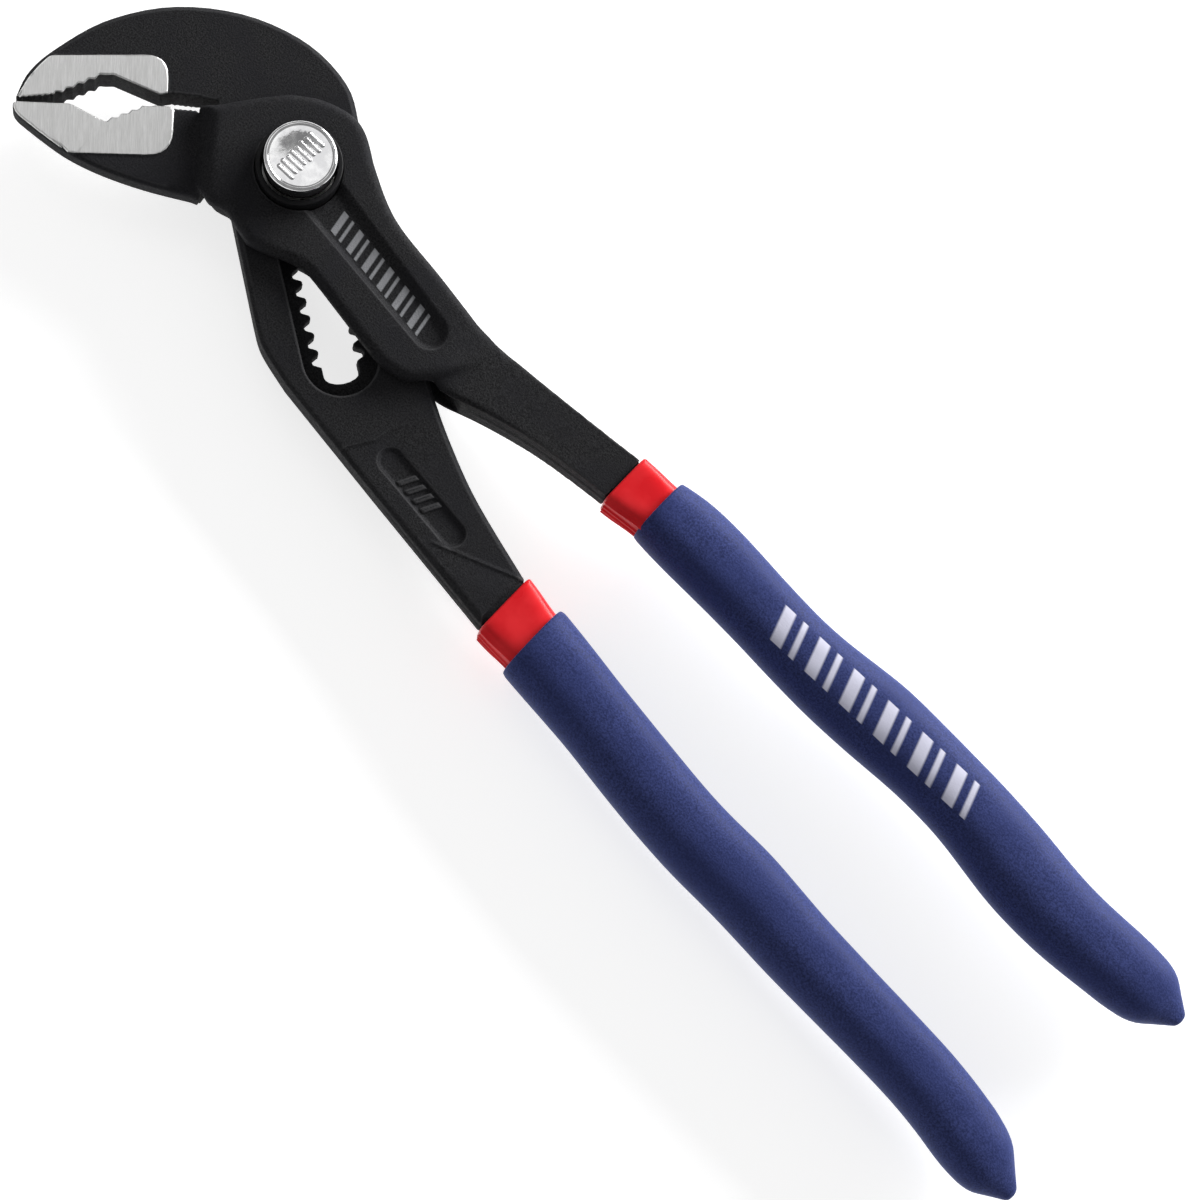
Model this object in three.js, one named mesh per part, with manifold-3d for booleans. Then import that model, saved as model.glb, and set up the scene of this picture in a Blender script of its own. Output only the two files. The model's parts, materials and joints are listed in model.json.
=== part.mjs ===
// Tongue and groove pliers with a push-button box joint, 250 mm long.
//
// Frame: X runs from the jaws to the handle ends, Y lies across the tool in the plane of the
// levers, and Z is the axis of the hinge bolt with the push button on top. The origin is on that
// axis, in the plane that the tail of the bolt rests on. Pieces are drawn about the middle plane
// of the levers and lifted together by REST_HEIGHT at the end. All lengths are millimetres.

import * as THREE from 'three';
import { mergeVertices } from 'three/addons/utils/BufferGeometryUtils.js';
import Module from 'manifold-3d';

const wasm = await Module();
wasm.setup();

// ---------------------------------------------------------------- driving dimensions

const GAP = 0.3; // clearance between pieces that touch

// thickness, as half heights about the middle plane
const LEVER_HALF = 3.3; // hook lever, and the jaw of the box lever
const PAD_HALF = 3.5; // ground flats beside the gripping edges
const WINDOW_HALF = LEVER_HALF + GAP; // the opening between the two cheeks
const BOX_HALF = 6.6; // outer faces of the cheeks
const TANG_ROOT_HALF = 4.9; // box lever tang where it leaves the cheeks
const TANG_HALF = 3.6; // both tangs at the sleeves
const EDGE = 0.6; // chamfer round the jaw and tang of the box lever
const SOFT_EDGE = 1.0; // chamfer round the hook lever and the cheeks
const REAR_STEP = 1.4; // height of the step where the rear half of the box lever draws in
const REAR_DRAW = 2.2; // how far its lower edge draws in there

// jaws: the gripping line starts at the tip and runs to the throat
const JAW_TIP = new THREE.Vector2(-42.6, -24.4);
const JAW_ANGLE = THREE.MathUtils.degToRad(42.2);

// toothed slot: its line passes through the bolt axis
const SLOT_ANGLE = THREE.MathUtils.degToRad(-34);
const PITCH = 3.1;
const SLOT_HALF = 3.05; // tooth tip to centre line
const TOOTH_HEIGHT = 1.4;
const TOOTH_TIP = 0.35; // half width of a tooth at its tip
const GULLET = 0.45; // half width of the gullet floor
const FIRST_TIP = -3.7; // place of the first tooth tip along the slot
const TIPS = 13;
const SLOT_START = -5.6;
const SLOT_END = 36.6;
const END_ARC = 1.7; // how deep the slot's end is rounded
const RELIEF_HALF = 6.4; // wide relief cut from the front, round the slot
const RAIL_TOP = -0.4; // the toothed rail fills the rear, up to here

// hinge bolt, spring and button
const BLOCK_RADIUS = 5.4;
const BLOCK_TOP = -0.6;
const NECK_HALF = SLOT_HALF - GAP;
const NECK_TOP = 3.2;
const SHAFT_RADIUS = 4.5;
const SHAFT_TOP = 11.8;
const STEM_RADIUS = 2.0;
const STEM_END = 9.0;
const CAP_RADIUS = 6.25;
const CAP_TOP = 13.2;
const CAP_CEILING = 12.2;
const CAP_SKIRT = 9.2;
const SKIRT_WALL = 0.6;
const RIB_LENGTH = 5.2;
const RIB_WIDTH = 0.6;
const RIB_SPACING = 1.4;
const COUNTERBORE_RADIUS = 7.5;
const COUNTERBORE_FLOOR = 4.7;
const RING_INNER = CAP_RADIUS + GAP;
const RING_TOP = 8.8;
const SEAT_THICKNESS = 0.5;
const SPRING_WIRE = 0.6;
const SPRING_RADIUS = 5.05;
const SPRING_TURNS = 2.4;
const WASHER_RADIUS = 7.6;
const WASHER_THICKNESS = 0.6;
const CLIP_THICKNESS = 0.6;
const CLIP_GROOVE_RADIUS = 4.7;
const REST_HEIGHT = 9.0; // the tail of the bolt ends this far below the middle plane

// the ridge across the hook lever's tang, with its angle in degrees
const RIDGE_START = new THREE.Vector2(60, -31);
const RIDGE_ANGLE = 21.2;

// sleeves and grips
const SLEEVE_START = 76;
const SLEEVE_END = 98;
const SLEEVE_WALL = 0.8;
const TANG_END = 192;

const ROUND = 36; // sides of a full circle

// ---------------------------------------------------------------- geometry helpers

const at = (x, y) => new THREE.Vector2(x, y);

// a point given along and across a line that starts at origin and runs at angle
function along(origin, angle, u, v) {
  return at(u, v).rotateAround(at(0, 0), angle).add(origin);
}

const inJaw = (u, v) => along(JAW_TIP, JAW_ANGLE, u, v);
const inSlot = (t, p) => along(at(0, 0), SLOT_ANGLE, t, p);

function solid(geometry) {
  const bare = geometry.clone();
  bare.deleteAttribute('normal');
  bare.deleteAttribute('uv');
  const merged = mergeVertices(bare, 1e-4);
  const vertProperties = new Float32Array(merged.attributes.position.array);
  const triVerts = new Uint32Array(merged.index.array);
  return new wasm.Manifold(new wasm.Mesh({ numProp: 3, vertProperties, triVerts }));
}

function geometryOf(manifold) {
  const { vertProperties, triVerts } = manifold.getMesh();
  const geometry = new THREE.BufferGeometry();
  geometry.setAttribute('position', new THREE.BufferAttribute(new Float32Array(vertProperties), 3));
  geometry.setIndex(new THREE.BufferAttribute(new Uint32Array(triVerts), 1));
  return geometry;
}

// a shape as straight stretches, without the doubled points where its curves meet
function polygon(shape, curveSegments) {
  const points = shape.getPoints(curveSegments);
  const kept = points.filter((p, i) => p.distanceTo(points[(i + 1) % points.length]) > 1e-3);
  return new THREE.Shape(kept);
}

// a flat plate with its outline in XY, from height bottom to height top
function plate(shape, bottom, top, curveSegments = 8) {
  const geometry = new THREE.ExtrudeGeometry(polygon(shape, curveSegments), {
    depth: top - bottom, bevelEnabled: false,
  });
  return solid(geometry.translate(0, 0, bottom));
}

// the same, with chamfered edges
function forging(shape, bottom, top, edge, curveSegments = 4) {
  const geometry = new THREE.ExtrudeGeometry(polygon(shape, curveSegments), {
    depth: top - bottom - 2 * edge,
    bevelThickness: edge,
    bevelSize: edge,
    bevelOffset: -edge,
    bevelSegments: 1,
  });
  return solid(geometry.translate(0, 0, bottom + edge));
}

// a turned piece about Z from pairs of radius and height
function turned(profile) {
  const points = profile.map(([radius, height]) => at(radius, height));
  points.push(points[0].clone());
  return new THREE.LatheGeometry(points, ROUND).rotateX(Math.PI / 2);
}

const cylinder = (radius, bottom, top) =>
  solid(turned([[0, bottom], [radius, bottom], [radius, top], [0, top]]));

// a straight-sided oblong with round ends, from a to b, its radius going from ra to rb
function oblong(a, b, ra, rb) {
  const angle = b.clone().sub(a).angle();
  const shape = new THREE.Shape();
  shape.absarc(a.x, a.y, ra, angle + Math.PI / 2, angle + 1.5 * Math.PI);
  shape.absarc(b.x, b.y, rb, angle - Math.PI / 2, angle + Math.PI / 2);
  return shape;
}

// teeth along a straight edge: each one rises square to the edge and falls back to it
function serrated(from, to, count, height) {
  const step = to.clone().sub(from).divideScalar(count);
  const out = at(-step.y, step.x).setLength(height);
  const points = [];
  for (let i = 0; i < count; i += 1) {
    const foot = from.clone().addScaledVector(step, i);
    points.push(foot);
    points.push(foot.clone().addScaledVector(step, 0.5).add(out));
  }
  points.push(to.clone());
  return points;
}

// a handle section: a rounded box, round all over when square is 2
function section(x, y, halfWidth, halfThickness, square, sides) {
  const ring = [];
  for (let i = 0; i < sides; i += 1) {
    const a = (2 * Math.PI * i) / sides;
    const c = Math.cos(a);
    const s = Math.sin(a);
    const py = Math.sign(c) * Math.abs(c) ** (2 / square) * halfWidth;
    const pz = Math.sign(s) * Math.abs(s) ** (2 / square) * halfThickness;
    ring.push([x, y + py, pz]);
  }
  return ring;
}

// a closed body through rings of points of equal number
function loft(rings) {
  const sides = rings[0].length;
  const positions = rings.flat(2);
  const index = [];
  for (let r = 0; r + 1 < rings.length; r += 1) {
    for (let i = 0; i < sides; i += 1) {
      const a = r * sides + i;
      const b = r * sides + ((i + 1) % sides);
      index.push(a, b, a + sides, b, b + sides, a + sides);
    }
  }
  const last = (rings.length - 1) * sides;
  for (let i = 1; i + 1 < sides; i += 1) {
    index.push(0, i + 1, i);
    index.push(last, last + i, last + i + 1);
  }
  const geometry = new THREE.BufferGeometry();
  geometry.setAttribute('position', new THREE.Float32BufferAttribute(positions, 3));
  geometry.setIndex(index);
  return geometry;
}

// ---------------------------------------------------------------- jaws

// the gripping edge of the hook jaw: fine teeth, a stepped flank, a plain flank, fine teeth
function upperEdge() {
  return [
    ...serrated(inJaw(0, 0.5), inJaw(6.4, 1.4), 7, 0.3),
    inJaw(6.7, 2.1),
    ...serrated(inJaw(7.9, 1.9), inJaw(15.1, 5.4), 4, 0.55),
    inJaw(16.4, 5.5),
    inJaw(24.4, 2.3),
    inJaw(25.4, 2.6),
    ...serrated(inJaw(26.0, 2.6), inJaw(31.5, 2.2), 6, 0.3),
    inJaw(34.2, 1.7),
  ];
}

// the gripping edge of the lower jaw, from the tip to the throat
function lowerEdge() {
  return [
    inJaw(0, 0),
    inJaw(9.3, 0),
    inJaw(15.2, -2.9),
    ...serrated(inJaw(15.6, -2.9), inJaw(22.4, 0.1), 4, 0.5),
    ...serrated(inJaw(23.2, 0.2), inJaw(26.2, 0.1), 4, 0.25),
    ...serrated(inJaw(26.6, -0.2), inJaw(30.8, -0.4), 5, 0.3),
    inJaw(32.0, -1.2),
  ];
}

// everything below the hook jaw's gripping edge, to be cut away
function belowUpperEdge() {
  return new THREE.Shape([inJaw(-6, 0.5), ...upperEdge(), inJaw(34.2, -14), inJaw(-6, -14)]);
}

// everything above the lower jaw's gripping edge
function aboveLowerEdge() {
  return new THREE.Shape([inJaw(-6, 0), ...lowerEdge(), inJaw(44, 20), inJaw(-6, 20)]);
}

// ---------------------------------------------------------------- hook lever

function hookOutline() {
  const shape = new THREE.Shape();
  const belowTip = inJaw(0.3, -1.5);
  shape.moveTo(belowTip.x, belowTip.y);
  shape.lineTo(inJaw(34.2, -1.5).x, inJaw(34.2, -1.5).y);
  shape.lineTo(-6.8, -10.2);
  shape.lineTo(12.8, -23.9);
  shape.splineThru([at(16.8, -26.2), at(24, -28.1)]);
  shape.lineTo(47.5, -31.5);
  shape.lineTo(SLEEVE_START - GAP, -35.4);
  shape.lineTo(SLEEVE_START - GAP, -24.7);
  shape.splineThru([at(60.6, -20.3), at(50, -15.8), at(42.6, -11.9)]);
  shape.lineTo(6.9, 9.6);
  shape.splineThru([
    at(1.6, 13.6), at(-5, 17.5), at(-15, 18.1), at(-26, 14.3), at(-35.6, 6.7), at(-41.8, -3),
    at(-44.4, -12.8), at(-44.7, -19), inJaw(0, 0.6),
  ]);
  return shape;
}

// the outline of the ground flat on the hook jaw
function upperPad() {
  const shape = new THREE.Shape();
  const first = inJaw(0.2, 0);
  shape.moveTo(first.x, first.y);
  const corner = inJaw(25.6, 9.2);
  const beforeCorner = inJaw(25.6, 4.4);
  const afterCorner = inJaw(22, 8.9);
  for (const p of [inJaw(25.6, 0), beforeCorner]) shape.lineTo(p.x, p.y);
  shape.quadraticCurveTo(corner.x, corner.y, afterCorner.x, afterCorner.y);
  const nearTip = inJaw(6.2, 8.5);
  shape.lineTo(nearTip.x, nearTip.y);
  return shape;
}

// the toothed slot, drawn along its own line
function slotOutline() {
  const right = [inSlot(SLOT_START, SLOT_HALF)];
  const left = [inSlot(SLOT_START, -SLOT_HALF)];
  for (let i = 0; i + 1 < TIPS; i += 1) {
    const tip = FIRST_TIP + i * PITCH;
    const profile = [
      [tip + TOOTH_TIP, SLOT_HALF],
      [tip + PITCH / 2 - GULLET, SLOT_HALF + TOOTH_HEIGHT],
      [tip + PITCH / 2 + GULLET, SLOT_HALF + TOOTH_HEIGHT],
      [tip + PITCH - TOOTH_TIP, SLOT_HALF],
    ];
    for (const [t, p] of profile) {
      right.push(inSlot(t, p));
      left.push(inSlot(t, -p));
    }
  }
  const end = [];
  for (let i = 0; i <= 8; i += 1) {
    const a = (Math.PI * i) / 8;
    end.push(inSlot(SLOT_END - END_ARC * (1 - Math.sin(a)), SLOT_HALF * Math.cos(a)));
  }
  return new THREE.Shape([...right, ...end, ...left.reverse()]);
}

// a slab whose half height changes along X, to trim the thickness of a lever
function thickness(points) {
  const upper = points.map(([x, half]) => at(x, half));
  const lower = points.map(([x, half]) => at(x, -half)).reverse();
  const geometry = new THREE.ExtrudeGeometry(new THREE.Shape([...upper, ...lower]), {
    depth: 300, bevelEnabled: false,
  });
  return solid(geometry.rotateX(Math.PI / 2).translate(0, 150, 0));
}

function hookLever() {
  // the tang swells beyond a ridge that crosses it at a slant
  const profile = thickness([[-120, LEVER_HALF], [0, LEVER_HALF], [4, TANG_HALF], [60, TANG_HALF]])
    .rotate([0, 0, RIDGE_ANGLE - 90])
    .translate([RIDGE_START.x, RIDGE_START.y, 0]);
  const relief = oblong(inSlot(0, 0), inSlot(SLOT_END + 3 - RELIEF_HALF, 0), RELIEF_HALF, RELIEF_HALF);
  const recess = oblong(at(45.6, -25.4), at(61.6, -27.4), 2.5, 2.5);
  return forging(hookOutline(), -TANG_HALF, TANG_HALF, SOFT_EDGE)
    .intersect(profile)
    .add(plate(upperPad(), -PAD_HALF, PAD_HALF))
    .subtract(plate(belowUpperEdge(), -BOX_HALF, BOX_HALF))
    .subtract(plate(slotOutline(), -BOX_HALF, BOX_HALF))
    .subtract(plate(relief, RAIL_TOP, BOX_HALF))
    .subtract(plate(recess, LEVER_HALF - 0.5, BOX_HALF));
}

// ---------------------------------------------------------------- box lever

// the lower jaw, its belly drawn in by draw
function lowerJawOutline(draw) {
  const shape = new THREE.Shape();
  const aboveTip = inJaw(-0.2, 2);
  shape.moveTo(aboveTip.x, aboveTip.y);
  shape.lineTo(-42.9, -24.2);
  shape.quadraticCurveTo(-42.6, -25.8, -40.4, -25.9 + draw);
  shape.splineThru([
    at(-35.4, -25.5 + draw), at(-30, -24.7 + draw), at(-24, -22.8 + draw), at(-17, -19.6 + draw),
    at(-10, -15.6 + draw),
  ]);
  shape.lineTo(-6, -13.9 + draw);
  shape.lineTo(-1.5, -13.7 + draw);
  shape.lineTo(0, -5);
  shape.lineTo(-10, 5);
  shape.lineTo(inJaw(33, 2).x, inJaw(33, 2).y);
  return shape;
}

// the outline of the ground flat on the lower jaw, its outer edge drawn in by draw
function lowerPad(draw) {
  const shape = new THREE.Shape();
  const outer = draw - 8.7;
  const points = [inJaw(-0.2, 0.2), inJaw(6.2, -5.2 + draw), inJaw(9.2, outer), inJaw(21.6, outer)];
  shape.moveTo(points[0].x, points[0].y);
  points.slice(1).forEach((p) => shape.lineTo(p.x, p.y));
  const corner = inJaw(26.4, outer);
  const after = inJaw(26.4, -4.2);
  shape.quadraticCurveTo(corner.x, corner.y, after.x, after.y);
  shape.lineTo(inJaw(26.4, 0.2).x, inJaw(26.4, 0.2).y);
  return shape;
}

// a cheek: a round boss about the bolt that runs out into an arm along the tang
function cheekOutline(draw) {
  const shape = new THREE.Shape();
  const belly = (x, y) => at(x, y + draw);
  shape.moveTo(-19.6, -3.6);
  shape.lineTo(-11, -13.6 + draw);
  shape.splineThru([belly(-7.3, -14.8), belly(-3.6, -14), belly(-0.6, -14.6), belly(2.6, -15.4)]);
  shape.splineThru([belly(6, -14.4), belly(9.7, -12.8), belly(13, -12), belly(17.3, -12.5)]);
  shape.lineTo(29, -14.5 + draw);
  shape.splineThru([belly(34, -15), belly(38.2, -13.8), belly(41, -11.2)]);
  shape.lineTo(43, -8);
  shape.lineTo(46, -2);
  shape.lineTo(46, 0.9);
  shape.lineTo(40, 1.5);
  shape.splineThru([at(29.9, 3.2), at(20.1, 4.6), at(14.6, 6.4), at(8.4, 9.7)]);
  shape.splineThru([at(3.6, 12.7), at(-0.6, 13.3), at(-5.9, 11.6), at(-10.3, 8.5)]);
  shape.splineThru([at(-14.4, 3.2), at(-17.2, -0.9)]);
  return shape;
}

function boxTangOutline() {
  const shape = new THREE.Shape();
  shape.moveTo(36, 1.9);
  shape.lineTo(36, -9);
  shape.lineTo(43, -11.4);
  shape.splineThru([at(52, -8.4), at(62.6, -6), at(SLEEVE_START - GAP, -4.6)]);
  shape.lineTo(SLEEVE_START - GAP, 3.9);
  shape.splineThru([at(60, 2.4), at(50, 1.7), at(44, 1.5)]);
  return shape;
}

// the space between the cheeks that the hook lever turns and slides in
function windowOutline() {
  return new THREE.Shape([
    inSlot(-40, -13),
    inSlot(-5, -13),
    at(-9.6, -12),
    at(-8.4, -18),
    at(-4, -30),
    at(60, -50),
    inSlot(56, 18),
    inSlot(46, 18.6),
    inSlot(37.5, 16.6),
    inSlot(29, 14.9),
    inSlot(14, 14.3),
    inSlot(-60, 14.3),
  ]);
}

function boxLever() {
  const profile = thickness([
    [30, TANG_ROOT_HALF], [46, TANG_ROOT_HALF], [72, TANG_HALF], [90, TANG_HALF],
  ]);
  const tang = forging(boxTangOutline(), -TANG_ROOT_HALF, TANG_ROOT_HALF, EDGE).intersect(profile);
  const recess = oblong(at(4, -0.4), at(35.4, -5.3), 4.35, 3.4);
  return forging(cheekOutline(0), -REAR_STEP, BOX_HALF, SOFT_EDGE)
    .add(forging(cheekOutline(REAR_DRAW), -BOX_HALF, REAR_STEP, SOFT_EDGE))
    .add(forging(lowerJawOutline(0), -REAR_STEP, LEVER_HALF, EDGE))
    .add(forging(lowerJawOutline(REAR_DRAW / 2), -LEVER_HALF, REAR_STEP, EDGE))
    .add(plate(lowerPad(0), 0, PAD_HALF))
    .add(plate(lowerPad(REAR_DRAW / 2), -PAD_HALF, 0))
    .add(tang)
    .subtract(plate(windowOutline(), -WINDOW_HALF, WINDOW_HALF))
    .subtract(plate(aboveLowerEdge(), -WINDOW_HALF, WINDOW_HALF))
    .subtract(cylinder(SHAFT_RADIUS + GAP, 0, BOX_HALF + 1))
    .subtract(cylinder(COUNTERBORE_RADIUS, COUNTERBORE_FLOOR, BOX_HALF + 1))
    .subtract(cylinder(BLOCK_RADIUS + GAP, -BOX_HALF - 1, 0))
    .subtract(plate(recess, BOX_HALF - 0.9, BOX_HALF + 1));
}

// ---------------------------------------------------------------- bolt, spring and button

// the toothed block of the bolt fills the slot's gullets, with the running clearance
function blockOutline() {
  const slope = (PITCH / 2 - GULLET - TOOTH_TIP) / TOOTH_HEIGHT;
  const side = GAP / Math.cos(Math.atan(slope));
  const foot = GULLET + slope * (TOOTH_HEIGHT + GAP) - side;
  const head = GULLET + slope * GAP - side;
  const right = [];
  const left = [];
  for (let i = -1; i <= 1; i += 1) {
    const centre = FIRST_TIP + (1.5 + i) * PITCH;
    const profile = [
      [centre - foot, SLOT_HALF - GAP],
      [centre - head, SLOT_HALF + TOOTH_HEIGHT - GAP],
      [centre + head, SLOT_HALF + TOOTH_HEIGHT - GAP],
      [centre + foot, SLOT_HALF - GAP],
    ];
    for (const [t, p] of profile) {
      right.push(inSlot(t, p));
      left.push(inSlot(t, -p));
    }
  }
  return new THREE.Shape([...right, inSlot(6, NECK_HALF), inSlot(6, -NECK_HALF), ...left.reverse()]);
}

function hingeBolt() {
  const tailTop = -LEVER_HALF - GAP;
  const clipTop = -BOX_HALF - WASHER_THICKNESS - 1.5 * GAP;
  const clipBottom = clipTop - CLIP_THICKNESS - GAP;
  const tail = solid(turned([
    [0, -REST_HEIGHT],
    [BLOCK_RADIUS - 0.3, -REST_HEIGHT],
    [BLOCK_RADIUS, -REST_HEIGHT + 0.3],
    [BLOCK_RADIUS, clipBottom],
    [CLIP_GROOVE_RADIUS, clipBottom],
    [CLIP_GROOVE_RADIUS, clipTop],
    [BLOCK_RADIUS, clipTop],
    [BLOCK_RADIUS, tailTop],
    [0, tailTop],
  ]));
  const block = plate(blockOutline(), tailTop - 0.1, BLOCK_TOP)
    .intersect(cylinder(BLOCK_RADIUS - 0.2, -BOX_HALF, BOX_HALF));
  const flats = new THREE.Shape([
    inSlot(-6, -NECK_HALF), inSlot(6, -NECK_HALF), inSlot(6, NECK_HALF), inSlot(-6, NECK_HALF),
  ]);
  const neck = plate(flats, tailTop - 0.1, NECK_TOP + 0.1)
    .intersect(cylinder(SHAFT_RADIUS, -BOX_HALF, BOX_HALF));
  return tail
    .add(block)
    .add(neck)
    .add(cylinder(SHAFT_RADIUS, NECK_TOP, SHAFT_TOP))
    .subtract(cylinder(STEM_RADIUS + GAP, STEM_END - GAP, SHAFT_TOP + 1));
}

// a chrome cap with a skirt round the spring, a stem into the bolt and ribs for the thumb
function pushButton() {
  const cap = solid(turned([
    [0, STEM_END],
    [STEM_RADIUS, STEM_END],
    [STEM_RADIUS, CAP_CEILING],
    [CAP_RADIUS - SKIRT_WALL, CAP_CEILING],
    [CAP_RADIUS - SKIRT_WALL, CAP_SKIRT],
    [CAP_RADIUS, CAP_SKIRT],
    [CAP_RADIUS, CAP_TOP - 0.7],
    [CAP_RADIUS - 0.2, CAP_TOP - 0.3],
    [CAP_RADIUS - 0.7, CAP_TOP - 0.1],
    [0, CAP_TOP - 0.1],
  ]));
  let ribbed = cap;
  for (let i = -2; i <= 2; i += 1) {
    const half = RIB_LENGTH / 2 - 0.25 * Math.abs(i);
    const low = i * RIB_SPACING - RIB_WIDTH / 2;
    const high = low + RIB_WIDTH;
    const rib = new THREE.Shape([at(-half, low), at(half, low), at(half, high), at(-half, high)]);
    ribbed = ribbed.add(plate(rib, CAP_TOP - 0.6, CAP_TOP));
  }
  return ribbed;
}

function buttonSpring() {
  const bottom = COUNTERBORE_FLOOR + 2 * GAP + SEAT_THICKNESS + SPRING_WIRE / 2;
  const top = CAP_CEILING - GAP - SPRING_WIRE / 2;
  class Helix extends THREE.Curve {
    getPoint(s, target = new THREE.Vector3()) {
      const a = s * SPRING_TURNS * 2 * Math.PI;
      const height = bottom + s * (top - bottom);
      return target.set(SPRING_RADIUS * Math.cos(a), SPRING_RADIUS * Math.sin(a), height);
    }
  }
  const wire = new THREE.Shape();
  wire.absarc(0, 0, SPRING_WIRE / 2, 0, 2 * Math.PI);
  return new THREE.ExtrudeGeometry(wire, {
    steps: Math.round(SPRING_TURNS * 20), curveSegments: 4, extrudePath: new Helix(), bevelEnabled: false,
  });
}

// a flat ring about the bolt axis
function ring(inner, outer, bottom, top) {
  return turned([[inner, bottom], [outer, bottom], [outer, top], [inner, top]]);
}

function guideRing() {
  return turned([
    [RING_INNER, COUNTERBORE_FLOOR + GAP],
    [COUNTERBORE_RADIUS - GAP, COUNTERBORE_FLOOR + GAP],
    [COUNTERBORE_RADIUS - GAP, RING_TOP - 0.3],
    [COUNTERBORE_RADIUS - 2 * GAP, RING_TOP],
    [RING_INNER, RING_TOP],
  ]);
}

function seatWasher() {
  const bottom = COUNTERBORE_FLOOR + GAP;
  return ring(SHAFT_RADIUS + GAP, RING_INNER - GAP, bottom, bottom + SEAT_THICKNESS);
}

function tailWasher() {
  const top = -BOX_HALF - GAP;
  return ring(BLOCK_RADIUS + GAP, WASHER_RADIUS, top - WASHER_THICKNESS, top);
}

// a snap ring with two ears and an open gap
function tailCirclip() {
  const top = -BOX_HALF - WASHER_THICKNESS - 2 * GAP;
  const inner = CLIP_GROOVE_RADIUS + 0.2;
  const outer = BLOCK_RADIUS + 1.1;
  const open = 0.35;
  const shape = new THREE.Shape();
  shape.absarc(0, 0, outer, open, 2 * Math.PI - open);
  shape.absarc(0, 0, inner, 2 * Math.PI - open, open, true);
  return plate(shape, top - CLIP_THICKNESS, top, ROUND / 2);
}

// ---------------------------------------------------------------- handles

// one handle: cores are the forged tang inside it and grips are its outer shape, both as rows of
// distance along X, centre in Y, half width and half thickness
const HOOK_HANDLE = {
  core: [[74, -29.9, 4.9, 3.2], [76, -30.1, 5.2, 3.4], [84, -31.1, 4.7, 3.4], [98, -32.4, 4.3, 3.4],
    [125, -36.2, 4.2, 3.4], [150, -38.1, 4.1, 3.4], [175, -39.6, 3.9, 3.3], [192, -42, 3.2, 3]],
  grip: [[83.5, -31, 7, 5.7], [84.5, -31.1, 7.3, 5.9], [98.5, -32.9, 6.9, 5.8], [111, -34.8, 7, 5.9],
    [126, -36.6, 6.9, 6], [137, -36.8, 7, 6], [150, -38.1, 6.7, 5.9], [171, -39.2, 6.4, 5.7],
    [183, -40.1, 6.4, 5.6], [190, -41.4, 6.5, 5.5], [196, -42.4, 6.2, 5.1], [199, -42.7, 5.4, 4.5],
    [201.5, -42.9, 3.8, 3.3], [203.8, -42.9, 1.7, 1.6], [204.6, -42.9, 0.7, 0.7]],
};
const BOX_HANDLE = {
  core: [[73, -0.3, 3.9, 3.2], [76, -0.3, 4.2, 3.4], [84, 0.2, 3.9, 3.4], [98, 0.3, 3.9, 3.4],
    [125, -0.9, 4, 3.4], [150, -0.4, 4.1, 3.4], [175, -3, 4, 3.3], [192, -3, 3.2, 3]],
  grip: [[83.5, 0.5, 5.9, 5.6], [84.5, 0.5, 6.2, 5.8], [92, 0.7, 6.9, 5.8], [104, 0.1, 6.6, 5.8],
    [115, -0.7, 6.5, 5.9], [123, -0.9, 6.8, 6], [134, -0.3, 7.4, 6], [146, -0.2, 6.9, 6],
    [157, -0.8, 7, 5.9], [168, -2.4, 7.6, 5.8], [180, -3.6, 7.1, 5.7], [190, -3.2, 6.8, 5.5],
    [197, -2.9, 6.4, 5.1], [200.5, -2.6, 5.8, 4.6], [203.3, -2.7, 3.8, 3.2], [205.6, -3, 1.7, 1.6],
    [206.4, -3.1, 0.7, 0.7]],
};

// a body through rows of stations, smoothed along X and grown all round by margin
function handleBody(rows, margin, square, sides, from = -Infinity, to = Infinity) {
  const places = new THREE.CatmullRomCurve3(rows.map(([x, y]) => new THREE.Vector3(x, y, 0)));
  const sizes = new THREE.CatmullRomCurve3(rows.map(([x, , w, t]) => new THREE.Vector3(x, w, t)));
  const rings = [];
  const steps = 2 * (rows.length - 1);
  for (let i = 0; i <= steps; i += 1) {
    const place = places.getPoint(i / steps);
    const size = sizes.getPoint(i / steps);
    if (place.x > from && place.x < to) {
      rings.push(section(place.x, place.y, size.y + margin, size.z + margin, square, sides));
    }
  }
  return solid(loft(rings));
}

const CORE_SQUARE = 4; // how square the tang and its sleeve are inside a handle
const GRIP_SQUARE = 2.4;
const CORE_SIDES = 16;
const GRIP_SIDES = 20;

const slab = (from, to) =>
  solid(new THREE.BoxGeometry(to - from, 120, 40).translate((from + to) / 2, -20, 0));

const tangCore = (handle) => handleBody(handle.core, 0, CORE_SQUARE, CORE_SIDES);

function sleeve(handle) {
  const outer = handleBody(handle.core, GAP + SLEEVE_WALL, CORE_SQUARE, CORE_SIDES);
  const inner = handleBody(handle.core, GAP, CORE_SQUARE, CORE_SIDES);
  return outer.intersect(slab(SLEEVE_START, SLEEVE_END)).subtract(inner);
}

function grip(handle) {
  const room = handleBody(handle.core, 2 * GAP + SLEEVE_WALL, CORE_SQUARE, CORE_SIDES);
  const sleeveRoom = room.intersect(slab(SLEEVE_START, SLEEVE_END + GAP));
  const core = handleBody(handle.core, GAP, CORE_SQUARE, CORE_SIDES);
  const end = slab(TANG_END - 1, TANG_END + GAP).intersect(core.translate([GAP, 0, 0]));
  return handleBody(handle.grip, 0, GRIP_SQUARE, GRIP_SIDES)
    .subtract(sleeveRoom)
    .subtract(core)
    .subtract(end);
}

// ---------------------------------------------------------------- assembly

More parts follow.
